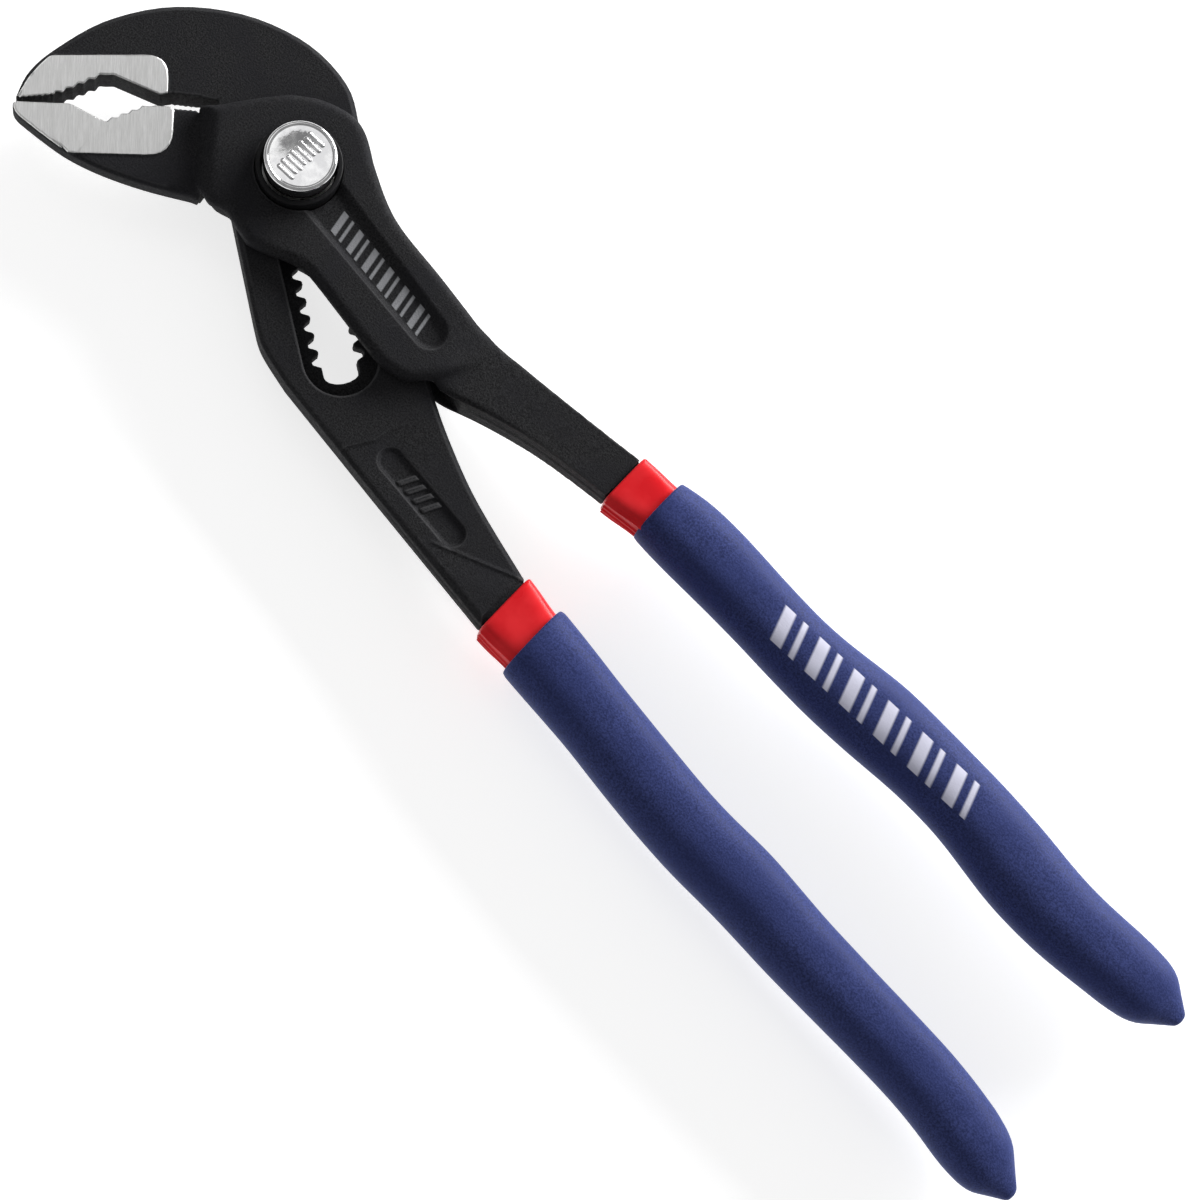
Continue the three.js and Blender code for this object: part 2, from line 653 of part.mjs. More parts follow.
const STEEL_BLACK = { color: 0x2c2c2e, roughness: 0.55, metalness: 0.3 };
const STEEL_BRIGHT = { color: 0xc9c9c6, roughness: 0.35, metalness: 1 };
const CHROME = { color: 0xe4e4e4, roughness: 0.08, metalness: 1 };
const RING_BLACK = { color: 0x111112, roughness: 0.5, metalness: 0 };
const VINYL_RED = { color: 0xd42429, roughness: 0.3, metalness: 0 };
const VINYL_BLUE = { color: 0x2f3a70, roughness: 0.6, metalness: 0 };

const pliers = new THREE.Group();
pliers.position.z = REST_HEIGHT;

function addPiece(name, shape, look) {
  const geometry = shape instanceof THREE.BufferGeometry ? shape : geometryOf(shape);
  geometry.computeVertexNormals();
  const mesh = new THREE.Mesh(geometry, new THREE.MeshStandardMaterial(look));
  mesh.name = name;
  pliers.add(mesh);
}

addPiece('hook_jaw_lever', hookLever().add(tangCore(HOOK_HANDLE)), STEEL_BLACK);
addPiece('box_jaw_lever', boxLever().add(tangCore(BOX_HANDLE)), STEEL_BLACK);
addPiece('hinge_bolt', hingeBolt(), STEEL_BRIGHT);
addPiece('push_button', pushButton(), CHROME);
addPiece('button_spring', buttonSpring(), STEEL_BRIGHT);
addPiece('spring_seat_washer', seatWasher(), STEEL_BRIGHT);
addPiece('button_guide_ring', guideRing(), RING_BLACK);
addPiece('tail_washer', tailWasher(), STEEL_BRIGHT);
addPiece('tail_circlip', tailCirclip(), STEEL_BRIGHT);
addPiece('hook_lever_sleeve', sleeve(HOOK_HANDLE), VINYL_RED);
addPiece('box_lever_sleeve', sleeve(BOX_HANDLE), VINYL_RED);
addPiece('hook_lever_grip', grip(HOOK_HANDLE), VINYL_BLUE);
addPiece('box_lever_grip', grip(BOX_HANDLE), VINYL_BLUE);

const object = new THREE.Group();
object.add(pliers);
object.updateMatrixWorld(true);

export default object;
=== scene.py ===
# Tongue and groove pliers with a push-button box joint: the looks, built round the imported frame.
#
# Shapes are worked out in millimetres about the middle plane of the levers: X runs from the jaws
# to the handle ends, Y across the tool, and Z along the hinge bolt towards the push button.
# They are turned into metres, in the frame's own place, when a piece is made.

import json
import math

import bpy
import numpy as np
from mathutils import Matrix, Vector


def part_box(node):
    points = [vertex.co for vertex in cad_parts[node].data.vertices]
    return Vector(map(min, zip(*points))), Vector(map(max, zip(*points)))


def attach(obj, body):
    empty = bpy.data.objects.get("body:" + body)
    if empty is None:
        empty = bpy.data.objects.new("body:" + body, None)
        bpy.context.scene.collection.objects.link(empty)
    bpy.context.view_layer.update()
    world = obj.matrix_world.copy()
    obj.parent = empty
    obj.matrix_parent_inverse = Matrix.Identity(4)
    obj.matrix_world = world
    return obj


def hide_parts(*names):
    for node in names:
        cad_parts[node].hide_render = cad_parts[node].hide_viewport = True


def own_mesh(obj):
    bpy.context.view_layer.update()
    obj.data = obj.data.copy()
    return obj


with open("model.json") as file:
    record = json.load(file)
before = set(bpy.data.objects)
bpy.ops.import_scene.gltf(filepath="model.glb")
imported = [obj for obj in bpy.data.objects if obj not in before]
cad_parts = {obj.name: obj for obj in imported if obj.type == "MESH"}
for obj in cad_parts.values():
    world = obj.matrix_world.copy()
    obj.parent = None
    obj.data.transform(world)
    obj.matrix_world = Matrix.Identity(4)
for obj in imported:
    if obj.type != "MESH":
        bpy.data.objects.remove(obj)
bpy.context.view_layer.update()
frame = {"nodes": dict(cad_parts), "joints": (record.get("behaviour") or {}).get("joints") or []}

MM = 0.001
PIVOT = next(j for j in frame["joints"] if j["name"] == "jaw_pivot")
MIDDLE = np.array([0, 0, PIVOT["pos_m"][2]]) / MM  # the middle plane's height, in millimetres

# thickness, as half heights about the middle plane
LEVER_HALF = 3.3
PAD_HALF = 3.5
BOX_HALF = 6.6
TANG_ROOT_HALF = 4.9

# the radius of the bore in the front cheek round the button
COUNTERBORE = 7.5

# the gripping line of the jaws
JAW_TIP = np.array([-42.6, -24.4])
JAW_ANGLE = math.radians(42.2)


# ---------------------------------------------------------------- small helpers

def smoothstep(low, high, value):
    t = np.clip((value - low) / (high - low), 0, 1)
    return t * t * (3 - 2 * t)


def along(origin, angle, points):
    """Coordinates along and across a line that starts at origin and runs at angle."""
    d = points - np.asarray(origin)
    c, s = math.cos(angle), math.sin(angle)
    return d @ np.array([[c, -s], [s, c]])


def place(origin, angle, u, v):
    c, s = math.cos(angle), math.sin(angle)
    return np.array([origin[0] + u * c - v * s, origin[1] + u * s + v * c])


def in_jaw(u, v):
    return place(JAW_TIP, JAW_ANGLE, u, v)


def rounded(corners, radius, steps=6):
    """A closed outline with its corners rounded; radius is one number or one for each corner."""
    corners = [np.asarray(c, float) for c in corners]
    radii = radius if isinstance(radius, (list, tuple)) else [radius] * len(corners)
    points = []
    for i, corner in enumerate(corners):
        before = corners[i - 1] - corner
        after = corners[(i + 1) % len(corners)] - corner
        start = corner + before / np.linalg.norm(before) * radii[i]
        end = corner + after / np.linalg.norm(after) * radii[i]
        for k in range(steps + 1):
            t = k / steps
            points.append((1 - t) ** 2 * start + 2 * t * (1 - t) * corner + t * t * end)
    return np.array(points)


def outline_distance(points, outline):
    """Distance from each point to a closed outline, positive inside it."""
    nearest = np.full(len(points), np.inf)
    inside = np.zeros(len(points), bool)
    for a, b in zip(outline, np.roll(outline, -1, axis=0)):
        edge = b - a
        length = edge @ edge
        if length < 1e-12:
            continue
        d = points - a
        t = np.clip(d @ edge / length, 0, 1)
        nearest = np.minimum(nearest, np.linalg.norm(d - t[:, None] * edge, axis=1))
        crosses = (a[1] > points[:, 1]) != (b[1] > points[:, 1])
        if a[1] != b[1]:
            at = a[0] + (points[:, 1] - a[1]) / (b[1] - a[1]) * edge[0]
            inside ^= crosses & (points[:, 0] < at)
    return np.where(inside, nearest, -nearest)


def path_distance(points, path):
    """Distance from each point to an open path."""
    nearest = np.full(len(points), np.inf)
    for a, b in zip(path[:-1], path[1:]):
        a, b = np.asarray(a, float), np.asarray(b, float)
        edge = b - a
        d = points - a
        t = np.clip(d @ edge / (edge @ edge), 0, 1)
        nearest = np.minimum(nearest, np.linalg.norm(d - t[:, None] * edge, axis=1))
    return nearest


def oblong_distance(points, a, b, ra, rb):
    """Distance inside an oblong with round ends at a and b, positive inside it."""
    a, b = np.asarray(a, float), np.asarray(b, float)
    length = np.linalg.norm(b - a)
    angle = math.atan2(*(b - a)[::-1])
    local = along(a, angle, points)
    t = np.clip(local[:, 0] / length, 0, 1)
    nearest = np.hypot(local[:, 0] - t * length, local[:, 1])
    return ra + (rb - ra) * t - nearest


# ---------------------------------------------------------------- meshes

def linked(name, data):
    """A new object in the scene, at the origin."""
    obj = bpy.data.objects.new(name, data)
    bpy.context.scene.collection.objects.link(obj)
    return obj


def mesh_object(name, points, faces):
    """A smooth object from points in millimetres about the middle plane."""
    mesh = bpy.data.meshes.new(name)
    mesh.from_pydata(((np.asarray(points) + MIDDLE) * MM).tolist(), [], faces)
    mesh.shade_smooth()
    mesh.validate()
    return linked(name, mesh)


def points_of(mesh):
    co = np.zeros(len(mesh.vertices) * 3)
    mesh.vertices.foreach_get("co", co)
    return co.reshape(-1, 3)


def edges_of(mesh):
    pairs = np.zeros(len(mesh.edges) * 2, np.int64)
    mesh.edges.foreach_get("vertices", pairs)
    return pairs.reshape(-1, 2)


def normals_of(mesh):
    normals = np.zeros(len(mesh.vertices) * 3)
    mesh.vertex_normals.foreach_get("vector", normals)
    return normals.reshape(-1, 3)


def cad_points(node):
    """A CAD node's points in millimetres about the middle plane, and its faces."""
    mesh = frame["nodes"][node].data
    return points_of(mesh) / MM - MIDDLE, [tuple(p.vertices) for p in mesh.polygons]


def with_modifier(mesh, kind, **settings):
    """A new mesh made by one modifier."""
    obj = linked("work", mesh)
    modifier = obj.modifiers.new("work", kind)
    for key, value in settings.items():
        setattr(modifier, key, value)
    graph = bpy.context.evaluated_depsgraph_get()
    graph.update()
    result = bpy.data.meshes.new_from_object(obj.evaluated_get(graph))
    bpy.data.objects.remove(obj)
    return result


SHRINK, REGROW = 0.5, -0.53


def relaxed(co, edges, rounds, weight=1.0, keep_size=False):
    """Draws each point towards the middle of its neighbours, round after round."""
    a, b = edges.T
    count = np.maximum(np.bincount(np.r_[a, b], minlength=len(co)), 1)
    weight = np.broadcast_to(weight, len(co))[:, None]
    steps = (SHRINK, REGROW) if keep_size else (SHRINK,)
    for _ in range(rounds):
        for step in steps:
            total = np.empty_like(co)
            for axis in range(3):
                values = np.r_[co[b, axis], co[a, axis]]
                total[:, axis] = np.bincount(np.r_[a, b], values, minlength=len(co))
            co = co + weight * step * (total / count[:, None] - co)
    return co


def set_attribute(mesh, name, values):
    attribute = mesh.attributes.new(name, "FLOAT", "POINT")
    attribute.data.foreach_set("value", np.asarray(values, np.float32))


def prism(outline, bottom, top):
    """Points and faces of an upright closed prism."""
    n = len(outline)
    points = [(x, y, bottom) for x, y in outline] + [(x, y, top) for x, y in outline]
    sides = [(i, (i + 1) % n, n + (i + 1) % n, n + i) for i in range(n)]
    return points, [tuple(range(n))[::-1], tuple(range(n, 2 * n)), *sides]


def joined(*bodies):
    """Several bodies' points and faces as one."""
    points, faces = [], []
    for body_points, body_faces in bodies:
        shift = len(points)
        points += [tuple(p) for p in body_points]
        faces += [tuple(i + shift for i in f) for f in body_faces]
    return points, faces


def skin(rings, closed=True):
    """Points and faces of a surface through rings of equal length, with its two ends filled."""
    n = len(rings[0])
    points = np.concatenate(rings)
    faces = []
    for r in range(len(rings) - 1):
        for i in range(n):
            j = (i + 1) % n
            faces.append((r * n + i, r * n + j, (r + 1) * n + j, (r + 1) * n + i))
    if closed:
        last = (len(rings) - 1) * n
        faces.append(tuple(range(n))[::-1])
        faces.append(tuple(range(last, last + n)))
    return points, faces


def lathe(profile, sides):
    """A closed turned body about Z from a closed profile of radius and height."""
    angles = np.arange(sides) * 2 * math.pi / sides
    n = len(profile)
    points = [(r * math.cos(a), r * math.sin(a), z) for a in angles for r, z in profile]
    faces = []
    for s in range(sides):
        t = (s + 1) % sides
        for i in range(n):
            j = (i + 1) % n
            faces.append((s * n + i, t * n + i, t * n + j, s * n + j))
    return points, faces


# ---------------------------------------------------------------- forged levers

VOXEL = 0.22
LEVER_TRIANGLES = 190_000
SETTLING_ROUNDS = 5     # what takes the steps of the remesh off
WELL_ABOVE = 2.0        # points further than this from the middle plane lie on a lever's faces
LEVEL_COSINE = 0.985    # a triangle is level when the cosine of its tilt is above this
FLASH_HALF = 1.0        # half the height of the parting line's band
NORMAL_WEIGHT = 90      # how far large flat faces lead the shading


class Forging:
    """A lever remeshed evenly from its CAD solid, then worked like clay."""

    def __init__(self, node, plugs=()):
        points, faces = joined(cad_points(node), *plugs)
        mesh = bpy.data.meshes.new("work")
        mesh.from_pydata(points, [], faces)
        self.mesh = with_modifier(mesh, "REMESH", mode="VOXEL", voxel_size=VOXEL)
        self.co = points_of(self.mesh)
        self.edges = edges_of(self.mesh)
        self.co = relaxed(self.co, self.edges, SETTLING_ROUNDS, keep_size=True)

    def soften(self, weight, rounds):
        self.co = relaxed(self.co, self.edges, rounds, weight)

    def press(self, depth, low, high):
        """Pushes the top down by depth, fading to nothing from height high to height low."""
        share = np.clip((self.co[:, 2] - low) / (high - low), 0, 1)
        self.co[:, 2] -= depth * share

    def normals(self):
        self.mesh.vertices.foreach_set("co", self.co.ravel())
        self.mesh.update()
        return normals_of(self.mesh)

    def raise_pad(self, outline):
        """Grinds the jaw's faces flat inside an outline, a little proud of the rest."""
        self.pad = outline
        lift = smoothstep(-0.05, 0.2, outline_distance(self.co[:, :2], outline))
        facing = self.normals()[:, 2]
        for side in (-1, 1):
            share = lift * smoothstep(0.5, 0.8, side * facing)
            share *= side * self.co[:, 2] > WELL_ABOVE
            self.co[:, 2] += share * (side * PAD_HALF - self.co[:, 2])

    def crease_pad(self, mesh, co):
        """Marks the rim of the ground flats as sharp, so that they shade flat up to their edges."""
        corners = np.empty(len(mesh.loops), int)
        edges = np.empty(len(mesh.loops), int)
        mesh.loops.foreach_get("vertex_index", corners)
        mesh.loops.foreach_get("edge_index", edges)
        triangles = co[corners.reshape(-1, 3)]
        across = np.cross(triangles[:, 1] - triangles[:, 0], triangles[:, 2] - triangles[:, 0])
        level = np.abs(across[:, 2]) > LEVEL_COSINE * np.linalg.norm(across, axis=1)
        centres = triangles.mean(axis=1)
        level &= np.abs(centres[:, 2]) > PAD_HALF - 0.12
        level &= outline_distance(centres[:, :2], self.pad) > -0.1
        beside = np.bincount(edges, np.repeat(level, 3), len(mesh.edges))
        creased = mesh.attributes.new("sharp_edge", "BOOLEAN", "EDGE")
        creased.data.foreach_set("value", beside == 1)

    def flash_line(self, start, height):
        """The trimmed parting line that runs round the tang at the middle plane."""
        normals = self.normals()
        band = np.clip(1 - (self.co[:, 2] / FLASH_HALF) ** 2, 0, 1)
        side = smoothstep(0.6, 0.9, np.hypot(normals[:, 0], normals[:, 1]))
        tang = smoothstep(start, start + 4, self.co[:, 0])
        self.co += normals * (height * band * side * tang)[:, None]

    def finished(self, name):
        """The lever as an object, thinned out where it is flat, with its convex edges marked for a
        lighter colour that is part wear, part painted highlight.
        """
        normals = self.normals()
        middle = relaxed(self.co, self.edges, 4)
        crest = np.einsum("ij,ij->i", self.co - middle, normals)
        set_attribute(self.mesh, "crest", crest)
        triangles = 2 * len(self.mesh.polygons)
        ratio = min(1.0, LEVER_TRIANGLES / triangles)
        mesh = with_modifier(self.mesh, "DECIMATE", ratio=ratio, use_collapse_triangulate=True)
        co = points_of(mesh)
        mesh.vertices.foreach_set("co", ((co + MIDDLE) * MM).ravel())
        mesh.shade_smooth()
        self.crease_pad(mesh, co)
        mesh = with_modifier(mesh, "WEIGHTED_NORMAL", mode="FACE_AREA", weight=NORMAL_WEIGHT,
                             keep_sharp=True)
        return linked(name, mesh), co


def mark_ground(obj, co, pad):
    """Marks the ground flats, positive on them, from their outline and their height."""
    inside = outline_distance(co[:, :2], pad)
    level = (np.abs(co[:, 2]) - (PAD_HALF - 0.32)) * 2
    set_attribute(obj.data, "ground", np.clip(np.minimum(inside, level), -0.3, 0.3))


# recesses with round ends: the centres of the two ends and their radii
HOOK_RECESS = ((45.6, -25.4), (61.6, -27.4), 2.5, 2.5)
CHEEK_RECESS = ((4, -0.4), (35.4, -5.3), 4.35, 3.4)
RECESS_MARGIN = 0.3     # how far a filled-in CAD recess reaches past its outline

# the raised bars in the hook lever's recess
BAR_PLACES = np.arange(4.4, 12, 2.0)
BAR_LEAN = 0.35

# the slanting ridge on the hook lever's tang: its start, its angle and its length
RIDGE = ((60, -31), math.radians(21.2), 18)

# the step of the coined neck, and all that lies on its lower side
COIN_STEP = [(37.6, -33.0), (38.8, -29.0), (41.4, -24.9), (42.5, -19.0), (42.9, -8.0)]
COINED = np.array([*COIN_STEP, (90, -8), (90, -50), (37, -50)])

# a press on the hook lever's top fades out between these heights
HOOK_TOP = (1.5, LEVER_HALF)

# the parting line on the tangs: where it starts in X, and its height
FLASH_START, FLASH_HEIGHT = 48, 0.16

# the foot of the ramp from the lower jaw up to the cheek, and the outline of the arm's end
RAMP_FOOT = ((-19.6, -3.6), (-11, -14.2))
ARM_END = [(41, -12), (43.5, -8), (46.4, -2), (46.4, 1.5)]

# the ground flats beside the gripping edges, along and across the gripping line
UPPER_PAD = rounded([in_jaw(-2, -2), in_jaw(25.6, -2), in_jaw(25.6, 9.5), in_jaw(5.5, 8.3),
                     in_jaw(3.7, 6.4), in_jaw(2.15, 4.35), in_jaw(0.75, 1.85), in_jaw(-0.4, 0)],
                    [0.2, 0.2, 4.2, 0.6, 0.8, 0.8, 0.8, 0.2])
LOWER_PAD = rounded([in_jaw(-2, 2), in_jaw(-1.2, 0.3), in_jaw(-0.2, -2.15), in_jaw(1.7, -4.3),
                     in_jaw(3.9, -6.25), in_jaw(6.35, -7.7), in_jaw(9.3, -8.7), in_jaw(26.6, -8.4),
                     in_jaw(26.8, 2)],
                    [0.2, 0.8, 0.8, 0.8, 0.8, 0.8, 1.0, 4.2, 0.2])


def tang_end(sleeve_node):
    """The stretch of tang that runs on from the forging into its sleeve."""
    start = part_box(sleeve_node)[0][0] / MM
    row = stations(sleeve_node, [start + 1.0])[0]
    wall_and_gap, sides = 1.15, 40
    half_width, half_height = row[1] - wall_and_gap, row[2] - wall_and_gap
    return skin([handle_ring(x, row[0], half_width, half_height, TANG_SQUARE, sides)
                 for x in (start - 0.8, start + 2.5)])


def oblong_outline(a, b, ra, rb, steps=16):
    """The outline of an oblong with round ends at a and b."""
    angle = math.atan2(b[1] - a[1], b[0] - a[0])
    points = []
    for centre, radius, start in ((a, ra, math.pi / 2), (b, rb, -math.pi / 2)):
        for k in range(steps + 1):
            t = angle + start + math.pi * k / steps
            points.append((centre[0] + radius * math.cos(t), centre[1] + radius * math.sin(t)))
    return np.array(points)


def hook_jaw_lever():
    """The lever with the curved upper jaw."""
    a, b, ra, rb = HOOK_RECESS
    plug = prism(oblong_outline(a, b, ra + RECESS_MARGIN, rb + RECESS_MARGIN), *HOOK_TOP)
    lever = Forging("hook_jaw_lever", [plug, tang_end("hook_lever_sleeve")])
    lever.raise_pad(UPPER_PAD)
    flat = lever.co[:, :2]

    # the stamped recess with its raised bars, the coined neck and the slanting ridge
    recess = smoothstep(0, 0.9, oblong_distance(flat, *HOOK_RECESS))
    angle = math.atan2(b[1] - a[1], b[0] - a[0])
    local = along(a, angle, flat)
    bars = np.zeros(len(flat))
    for bar_place in BAR_PLACES:
        across = np.abs(local[:, 0] - bar_place - BAR_LEAN * local[:, 1])
        bar = smoothstep(0.68, 0.38, across) * smoothstep(1.85, 1.5, np.abs(local[:, 1]))
        bars = np.maximum(bars, bar)
    lever.press(0.6 * recess - 0.4 * bars, *HOOK_TOP)

    step = smoothstep(-0.3, 0.3, outline_distance(flat, COINED))
    from_step = path_distance(flat, COIN_STEP)
    near = smoothstep(13, 3, from_step) * smoothstep(-16, -24, flat[:, 1])
    lever.press(0.34 * step * near, *HOOK_TOP)
    lever.soften(smoothstep(2.6, 0.8, from_step), 2)

    start, slant, length = RIDGE
    ridge = along(start, slant, flat)
    on_ridge = smoothstep(-1, 1, ridge[:, 0]) * smoothstep(length + 1, length - 1, ridge[:, 0])
    lever.press(-0.2 * np.exp(-(ridge[:, 1] / 0.32) ** 2) * on_ridge, *HOOK_TOP)

    lever.flash_line(FLASH_START, FLASH_HEIGHT)
    obj, co = lever.finished("hook_lever_forging")
    mark_ground(obj, co, UPPER_PAD)
    return obj


def cheek_recess_plug():
    """What fills the cheek's recess, from the rim of the counterbore to its far end."""
    a, b, ra, rb = CHEEK_RECESS
    grown = (a, b, ra + RECESS_MARGIN, rb + RECESS_MARGIN)
    outline = oblong_outline(*grown)
    far_end = outline[len(outline) // 2:]
    angles = np.linspace(1.4, -1.4, 60)
    rim = (COUNTERBORE + 0.02) * np.column_stack([np.cos(angles), np.sin(angles)])
    return np.concatenate([far_end, rim[oblong_distance(rim, *grown) > 0]])


def box_jaw_lever():
    """The lever with the lower jaw and the two cheeks of the box joint."""
    lever = Forging("box_jaw_lever", [prism(cheek_recess_plug(), 4.4, BOX_HALF),
                                      tang_end("box_lever_sleeve")])
    lever.raise_pad(LOWER_PAD)
    flat = lever.co[:, :2]

    # the cheek rises from the jaw in a soft ramp, and the arm's end is rounded off
    start, end = RAMP_FOOT
    step = along(start, math.atan2(end[1] - start[1], end[0] - start[0]), flat)
    ramp = LEVER_HALF + (BOX_HALF - LEVER_HALF) * smoothstep(-0.4, 2.9, step[:, 1])
    near = smoothstep(-0.2, 1.6, step[:, 0]) * (step[:, 1] > -1.5)
    over = np.clip(lever.co[:, 2] - ramp, 0, None)
    lever.co[:, 2] -= over * near
    fillet = smoothstep(4.6, 2.6, path_distance(flat, RAMP_FOOT)) * smoothstep(0, 2, step[:, 0])
    lever.soften(fillet * (lever.co[:, 2] > WELL_ABOVE), 40)
    lever.soften(smoothstep(3.2, 1.0, path_distance(flat, ARM_END)), 50)
    reach = np.hypot(lever.co[:, 0], lever.co[:, 1])
    cheeks = smoothstep(8.3, 9.5, reach) * smoothstep(3.9, 4.6, np.abs(lever.co[:, 2]))
    lever.soften(cheeks, 14)

    # the step at the arm's end dies away towards its upper side, where the top slopes down instead
    x, y = lever.co[:, 0], lever.co[:, 1]
    slope = smoothstep(36, 49, x) * smoothstep(-12, -1, y)
    lever.press((BOX_HALF - TANG_ROOT_HALF) * slope, TANG_ROOT_HALF, BOX_HALF)

    # the recess has a steep wall along its lower side and a softer one along its upper side
    flat = lever.co[:, :2]
    a, b = CHEEK_RECESS[:2]
    side = along(a, math.atan2(b[1] - a[1], b[0] - a[0]), flat)[:, 1]
    wall = 1.3 + 0.7 * smoothstep(-1, 3, side)
    recess = smoothstep(0, 1, oblong_distance(flat, *CHEEK_RECESS) / wall)
    lever.press(0.95 * recess, 4.2, BOX_HALF)
    lever.flash_line(FLASH_START, FLASH_HEIGHT)
    obj, co = lever.finished("box_lever_forging")
    mark_ground(obj, co, LOWER_PAD)
    return obj


# ---------------------------------------------------------------- handles

HANDLE_SIDES = 96
SLEEVE_SIDES = 288
LIP_STEPS = 6

# how square the cross sections are: 2 is an ellipse
GRIP_SQUARE = 2.4
TANG_SQUARE = 4
SLEEVE_EDGE_SQUARE = 1.4    # what is added to it at the sleeve's free edge

GRIP_WALL = 0.9
SLEEVE_WALL = 0.8
GRIP_GAP = 0.25             # between a grip and what it is pulled over
HOLLOW_END = 192            # where the grips' hollows end in X

# how the grips close to a blunt point: the share of the full width at distances from the end
TIP_LENGTH = 12.0
TIP_RINGS = 45
TIP_FROM_END = [0, 0.1, 0.25, 0.5, 1.0, 1.5, 2.5, 3.5, 4.5, 5.5, 6.5, 7.5, 8.5, 10.5, 12]
TIP_SIZE = [0.03, 0.115, 0.165, 0.215, 0.275, 0.330, 0.445, 0.560, 0.68, 0.785, 0.856, 0.905, 0.94,
            0.98, 1]


def stations(node, places):
    """Where a CAD node is cut across at each X: its middle in Y, half width and half height."""
    mesh = frame["nodes"][node].data
    co = points_of(mesh) / MM - MIDDLE
    a, b = co[edges_of(mesh)].transpose(1, 0, 2)
    rows = []
    for x in places:
        crosses = (a[:, 0] - x) * (b[:, 0] - x) < 0
        p, q = a[crosses], b[crosses]
        t = (x - p[:, 0]) / (q[:, 0] - p[:, 0])
        cut = p + t[:, None] * (q - p)
        low, high = cut.min(0), cut.max(0)
        rows.append(((low[1] + high[1]) / 2, (high[1] - low[1]) / 2, (high[2] - low[2]) / 2))
    return np.array(rows)


def smoothed_rows(places, rows, reach):
    """Rows averaged over a stretch of the length, less and less towards both ends."""
    result = np.empty_like(rows)
    for i, x in enumerate(places):
        width = np.clip(min(x - places[0], places[-1] - x) / 2, 0.05, reach)
        weights = np.exp(-((places - x) / width) ** 2)
        result[i] = weights @ rows / weights.sum()
    return result


def unit_ring(square, sides):
    """Points evenly spaced round a softened square that reaches 1 each way."""
    t = np.linspace(0, 2 * math.pi, 3001)
    ring = np.column_stack([np.sign(wave) * np.abs(wave) ** (2 / square)
                            for wave in (np.cos(t), np.sin(t))])
    length = np.r_[0, np.cumsum(np.hypot(*np.diff(ring, axis=0).T))]
    at = np.arange(sides) * length[-1] / sides
    return np.interp(at, length, ring[:, 0]), np.interp(at, length, ring[:, 1])


def handle_ring(x, middle, half_width, half_height, square, sides=HANDLE_SIDES):
    y, z = unit_ring(square, sides)
    return np.column_stack([np.full(sides, x), middle + y * half_width, z * half_height])


def lip(x, row, wall, square, towards, sides=HANDLE_SIDES):
    """Rings that roll round the edge of a wall from its inside to its outside."""
    rings = []
    middle, half_width, half_height = row
    for k in range(LIP_STEPS + 1):
        t = math.pi * k / LIP_STEPS
        out = wall / 2 * (1 - math.cos(t)) - wall
        rings.append(handle_ring(x + towards * wall / 2 * (1 - math.sin(t)), middle,
                                 half_width + out, half_height + out, square, sides))
    return rings


def grip(lever_node, sleeve_node, grip_node, name):
    """A dipped grip, hollow round the tang and its sleeve, with a closed tip."""
    low, high = (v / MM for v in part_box(grip_node))
    start, end = low[0], high[0]
    places = np.r_[np.arange(start + GRIP_WALL / 2, end - TIP_LENGTH, 0.4), end - TIP_LENGTH]
    rows = smoothed_rows(places, stations(grip_node, places), 4.0)

    # the hollow follows the sleeve, stays wide just past its end, and then follows the tang
    sleeve_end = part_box(sleeve_node)[1][0] / MM
    over_sleeve, past_sleeve = sleeve_end - 0.2, sleeve_end + 0.5
    inner = []
    for x in np.arange(start + 1.2, HOLLOW_END, 3.0)[::-1]:
        node = sleeve_node if x < over_sleeve else lever_node
        middle, half_width, half_height = stations(node, [x])[0]
        gap = 1.3 if over_sleeve <= x < past_sleeve else GRIP_GAP
        inner.append(handle_ring(x, middle, half_width + gap, half_height + gap, TANG_SQUARE))
    edge = lip(start, rows[0], GRIP_WALL, GRIP_SQUARE, 1)
    outer = [handle_ring(x, *row, GRIP_SQUARE) for x, row in zip(places[1:], rows[1:])]

    tip = []
    middle, half_width, half_height = rows[-1]
    slope = (rows[-1][0] - rows[-8][0]) / (places[-1] - places[-8])
    for k in range(1, TIP_RINGS + 1):
        from_end = TIP_LENGTH * (1 - math.sin(math.pi / 2 * k / (TIP_RINGS + 1)))
        size = np.interp(from_end, TIP_FROM_END, TIP_SIZE)
        tip.append(handle_ring(end - from_end, middle + slope * (TIP_LENGTH - from_end),
                               half_width * size, half_height * size, GRIP_SQUARE))
    points, faces = skin(inner + edge + outer + tip)

    # the dipped skin is never quite even
    x, y, z = points.T
    wave = np.sin(0.31 * x + 0.4 * z) * np.sin(0.23 * x - 0.5 * y + 1.3) * 0.06
    outside = np.arange(len(points)) >= len(inner + edge) * HANDLE_SIDES
    points[:, 2] += np.where(outside, wave * np.sign(z) * smoothstep(0, 2, np.abs(z)), 0)
    return mesh_object(name, points, faces)


